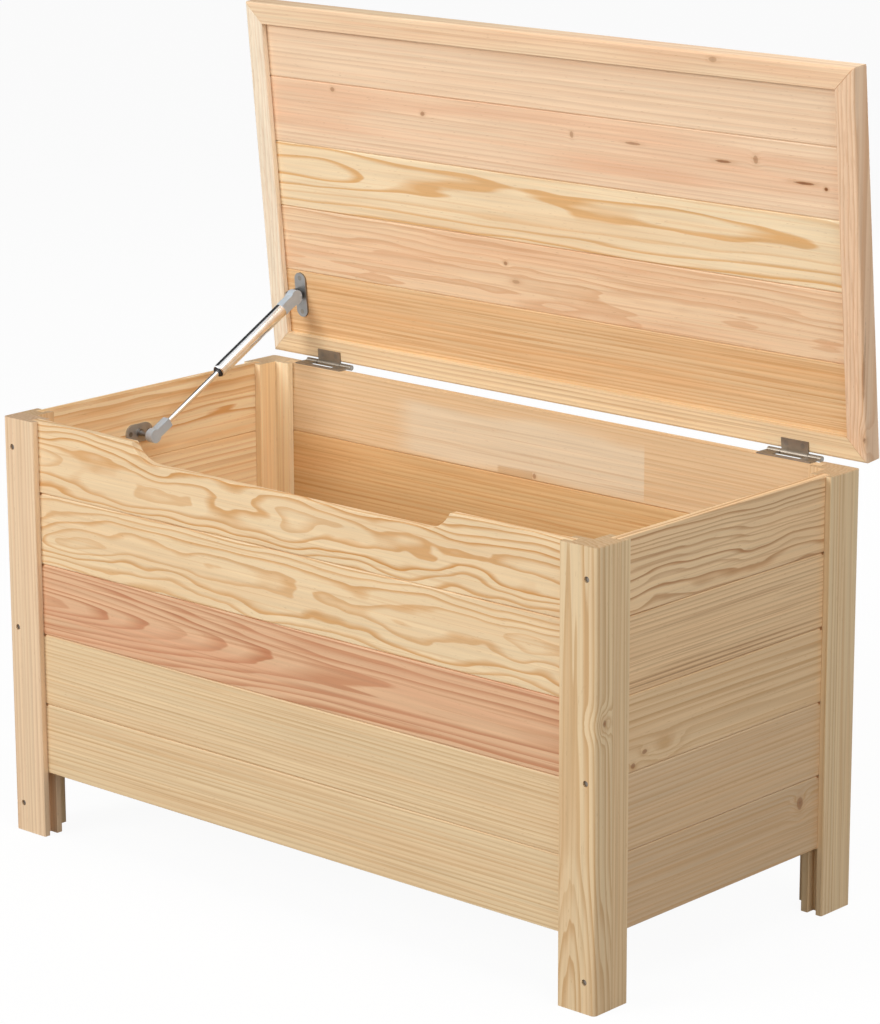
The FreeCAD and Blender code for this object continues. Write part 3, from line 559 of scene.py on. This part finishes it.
TIMBER = {
    "front_board_1": SWIRL._replace(seed=1.3),
    "front_board_2": SWIRL._replace(tilt=-0.01, contrast=0.75, seed=2.9, knots=(FRONT_GAP_SHADE,)),
    "front_board_3": RED._replace(
        ring=4.6, pith=16, offset=2, climb=24, climb_from=-420, climb_to=60, seed=3.1,
        knots=(FRONT_GAP_SHADE,),
    ),
    "front_board_4": PALE._replace(ring=4.0, seed=4.7, knots=(FRONT_GAP_SHADE,)),
    "front_board_5": PALE._replace(offset=-170, seed=5.3, knots=(FRONT_GAP_SHADE,)),
    "right_board_1": RIDGED._replace(seed=6.1),
    # From right board 2 down to board 5 the early colour darkens step by step: painted shade, darker
    # towards the floor
    "right_board_2": PALE._replace(
        ring=4.2, early="F2D0A3", late="B07F52", lines=0.5, seed=7.4,
        knots=(
            Knot(-40, -34, 0.9, 0.5, 0.0, shorten=0.006),
            Knot(-70, -29, 0.7, 0.45, 0.0, shorten=0.006),
            Knot(30, -25, 0.6, 0.3, 0.0, shorten=0.006),
            RIGHT_GAP_SHADE,
        ),
    ),
    "right_board_3": PALE._replace(
        ring=6.0, offset=60, early="EBCBA0", contrast=0.65, seed=8.2,
        knots=(
            Knot(-138, -34, 2.6, 0.7),
            Knot(-121, -24, 2.2, 0.65, shorten=0.6),
            Knot(-92, -25, 5.0, 0.0, 1.4, shorten=0.45),
            RIGHT_GAP_SHADE,
        ),
    ),
    "right_board_4": PALE._replace(offset=-140, early="DEC09A", seed=9.5, knots=(RIGHT_GAP_SHADE,)),
    "right_board_5": PALE._replace(
        ring=5.0, early="D6B893", seed=10.9,
        knots=(Knot(122, 15, 6.4, 0.65, 2.2, shorten=1.3), RIGHT_GAP_SHADE),
    ),
    "lid_board_1": PINK._replace(ring=6.0, contrast=0.35, lines=0.15, seed=12.2),
    "lid_board_2": PINK._replace(
        tone="EDB68F", tone_share=0.6, contrast=0.35, lines=0.2, seed=13.7, knots=LID_KNOTS,
    ),
    "lid_board_3": SWIRL._replace(
        ring=8.0, offset=-12, wave=11, wave_length=240, ripple=0.15, pale_share=0.62,
        early="F9E3BD", late="DCA257", contrast=0.85, seed=14.6,
    ),
    "lid_board_4": ORANGE._replace(
        ring=5.0, pith=50, offset=24, wave=7, wave_length=150, early="F5D6B0", late="CB8C55",
        tone="EFBE95", contrast=0.55, seed=15.8,
        knots=(Knot(-57, 12, 2.0, 0.6), Knot(-44, -6, 2.0, 0.35, 0.6, shorten=0.4)),
    ),
    "lid_board_5": ORANGE._replace(offset=-130, early="ECCA9C", lines=0.45, seed=16.4),
    # Left wall boards in the brightened pine: painted light
    "left_board_1": PAINTED_LIGHT_PALE._replace(
        ring=9.0, pith=50, offset=40, wave=13, wave_length=190, wave_across=60, contrast=0.9, seed=17.9,
    ),
    "left_board_2": PAINTED_LIGHT_PALE._replace(ring=7.0, seed=18.5),
    "left_board_3": PAINTED_LIGHT_PALE._replace(offset=-120, contrast=0.8, seed=19.1),
    "left_board_4": PAINTED_LIGHT_PALE._replace(ring=5.0, contrast=0.6, seed=34.6),
    "left_board_5": PAINTED_LIGHT_PALE._replace(offset=-170, contrast=0.6, seed=35.8),
    "back_board_1": PALE._replace(
        early="E7C9A0", late="C6965E", tone="E2BF92", contrast=0.4, seed=20.3,
        patches=(
            Patch(-210, 144, -38, 28, 14, "EBDEC4", 0.58),
            Patch(-57, -6, -60, -28, 1.5, "C9A172", 0.55),
        ),
        knots=(Knot(-4, -33, 3.0, 0.55, 0.0, shorten=1.3),),
    ),
    "back_board_2": ORANGE._replace(offset=-140, early="DFBC88", lines=0.5, seed=21.7),
    # Inner back corner stiles: early wood brightened further as painted light, where the corner gets less
    # light
    "back_stile_left": PAINTED_LIGHT_PALE._replace(early="FFEBC4", contrast=0.25, lines=0.1, seed=28.1),
    "left_side_stile_back": PAINTED_LIGHT_PALE._replace(early="FFE6BC", contrast=0.25, lines=0.1, seed=29.4),
    "front_stile_left": PINK._replace(early="EFD2AE", late="C9996A", seed=27.5),
    "front_stile_right": PALE._replace(
        ring=5.0, pith=26, offset=8, climb=14, climb_from=-230, climb_to=-60, contrast=0.75, seed=22.6,
        knots=(Knot(57, 19, 4.2, 0.85, 3.0, ball=1.0),),
    ),
    "lid_rail_right": PINK._replace(
        early="F0CFAE", contrast=0.75, seed=23.8,
        knots=(
            Knot(-174, 10.5, 3.4, 1.0, 4.0, ball=0.6, shorten=0.5),
            Knot(-110, 10.5, 1.2, 0.5, 0.0, ball=0.6, shorten=0.012),
        ),
    ),
    "lid_rail_front": PINK._replace(
        early="F5DAB6", tone="EDB890", tone_share=0.5, seed=24.4,
        knots=(Knot(236, 4, 2.6, 0.4, shorten=0.5),),
    ),
    "lid_rail_left": PINK._replace(early="FBEAD0", late="DDB68C", tone="FBE6CC", seed=25.2),
    "lid_rail_back": PALE._replace(early="F4DDB6", seed=26.9),
    "floor_panel": PALE._replace(
        ring=15.0, pith=26, offset=10, wave=15, wave_length=420, wave_across=130, contrast=0.5,
        early="E6CFA8", late="C9A06A", lines=0.15, seed=36.4,
    ),
}
# Seeds of the pieces that the table leaves out
FIRST_SEED = 31.0
SEED_STEP = 2.3

# Axes along the grain, across it and through the board, with the starts of the names that have them
RUNS = {
    ("X", "Z", "Y"): ("front_board", "back_board", "lid_board", "lid_rail_front", "lid_rail_back"),
    ("Y", "Z", "X"): ("left_board", "right_board"),
    ("Z", "X", "Y"): ("front_stile", "back_stile", "lid_rail_left", "lid_rail_right"),
    ("Z", "Y", "X"): ("left_side_stile", "right_side_stile"),
    ("X", "Y", "Z"): ("floor_panel", "floor_battens"),
}


def dress_wood():
    """Dresses every wooden piece with its own pine."""
    for index, node in enumerate(sorted(nodes)):
        runs = [run for run, starts in RUNS.items() if node.startswith(starts)]
        if not runs:
            continue
        wood = TIMBER.get(node, PALE._replace(seed=FIRST_SEED + SEED_STEP * index))
        dress(node, pine(node, *runs[0], wood))
        soften(node, WOOD_EASE)


def dress_hardware():
    """Dresses hinges, strut and screws by the first word of the list that their name has."""
    bracket = steel("bracket_steel", "9C9A97", 0.35)
    chrome = steel("strut_chrome", "F0F1F2", 0.2)
    looks = {
        "leaf": steel("hinge_steel", "9A9083", 0.45),
        "screws": steel("screw_steel", "8F8981", 0.42),
        "strut_rod_guide": plastic("guide_plastic", "26262A", 0.5),
        "strut_rod": chrome,
        "strut_tube": chrome,
        "socket": plastic("socket_plastic", "BAC6D0", 0.42),
        "strut_lower_bracket": steel("plate_steel", "B8B5B0", 0.55),
        "bracket": bracket,
        "stud": bracket,
        "hinge_pin": bracket,
        "piston": bracket,
    }
    for node in nodes:
        fitting = [material for word, material in looks.items() if word in node]
        if fitting:
            dress(node, fitting[0])
        if "socket" in node:
            soften(node, HARDWARE_EASE)


def seen_rays(graph):
    """1 for camera, mirrored and transmitted rays, and 0 for all others."""
    path = graph.add("ShaderNodeLightPath")
    seen = graph.math("MAXIMUM", path.outputs["Is Camera Ray"], path.outputs["Is Glossy Ray"])
    return graph.math("MAXIMUM", seen, path.outputs["Is Transmission Ray"])


def white_for_camera(name):
    """A pale surface that the camera and reflections see nearly white, and that keeps the shadow."""
    graph = new_material(name)
    seen = seen_rays(graph)
    glow = graph.add("ShaderNodeEmission")
    matt = graph.add("ShaderNodeBsdfDiffuse")
    graph.feed(matt.inputs["Color"], graph.mix(seen, linear(FLOOR_BOUNCE), linear(WHITE)))
    share = graph.math("MULTIPLY", seen, FLOOR_GLOW)
    return graph.output(graph.blend(share, matt.outputs[0], glow.outputs[0]))


def turned(place, aim, axis):
    """Turns an axis of something at a place towards an aim."""
    return (Vector(aim) - Vector(place)).to_track_quat(axis, "Y").to_euler()


def make_square(name, half, material):
    """A flat square with one material, round the origin."""
    mesh = bpy.data.meshes.new(name)
    corners = [(-half, -half, 0), (half, -half, 0), (half, half, 0), (-half, half, 0)]
    mesh.from_pydata(corners, [], [(0, 1, 2, 3)])
    mesh.materials.append(material)
    made = bpy.data.objects.new(name, mesh)
    bpy.context.scene.collection.objects.link(made)
    return made


def make_floor():
    """A plain pale floor."""
    floor = make_square("studio_floor", FLOOR_REACH, white_for_camera("studio_white"))


def make_card():
    """A dark card that only bright metal reflects, as a photographer sets beside chrome."""
    graph = new_material("studio_card")
    dark = graph.finish(Base_Color=linear(CARD_COLOUR), Roughness=CARD_ROUGHNESS)
    card = make_square("studio_card", CARD_HALF, dark)
    card.location = CARD_PLACE
    card.rotation_euler = turned(CARD_PLACE, CARD_AIM, "Z")
    card.visible_camera = False
    card.visible_diffuse = False
    card.visible_shadow = False


def make_light(lamp):
    """A lamp that looks at the chest."""
    light = bpy.data.lights.new(lamp.name, "AREA")
    light.shape = "DISK"
    light.size = lamp.size
    light.energy = lamp.power
    made = bpy.data.objects.new(lamp.name, light)
    made.location = lamp.place
    made.rotation_euler = turned(lamp.place, LIGHT_AIM, "-Z")
    bpy.context.scene.collection.objects.link(made)


def make_world():
    """Even pale surroundings, white to the camera."""
    graph = Graph(bpy.data.worlds.new("studio_world"))
    shades = []
    for strength in (AMBIENT, 1.0):
        shade = graph.add("ShaderNodeBackground")
        shade.inputs["Color"].default_value = linear(WHITE)
        shade.inputs["Strength"].default_value = strength
        shades.append(shade.outputs[0])
    surface = graph.blend(seen_rays(graph), *shades)
    bpy.context.scene.world = graph.output(surface, "ShaderNodeOutputWorld")


def make_studio():
    """Floor, surroundings, lamps and card."""
    make_floor()
    make_world()
    for lamp in LAMPS:
        make_light(lamp)
    make_card()


def make_camera():
    """The camera at the photograph's viewing angle."""
    lens = bpy.data.cameras.new("camera")
    lens.lens = CAMERA_LENS
    lens.sensor_width = CAMERA_SENSOR
    made = bpy.data.objects.new("camera", lens)
    turn = Matrix.Rotation(math.radians(CAMERA_YAW), 4, "Z")
    turn = turn @ Matrix.Rotation(math.radians(90 - CAMERA_PITCH), 4, "X")
    turn = turn @ Matrix.Rotation(math.radians(-CAMERA_ROLL), 4, "Z")
    made.matrix_world = Matrix.Translation(CAMERA_PLACE) @ turn
    bpy.context.scene.collection.objects.link(made)
    bpy.context.scene.camera = made


dress_wood()
dress_hardware()
make_studio()
make_camera()
bpy.context.scene.view_settings.view_transform = "Standard"
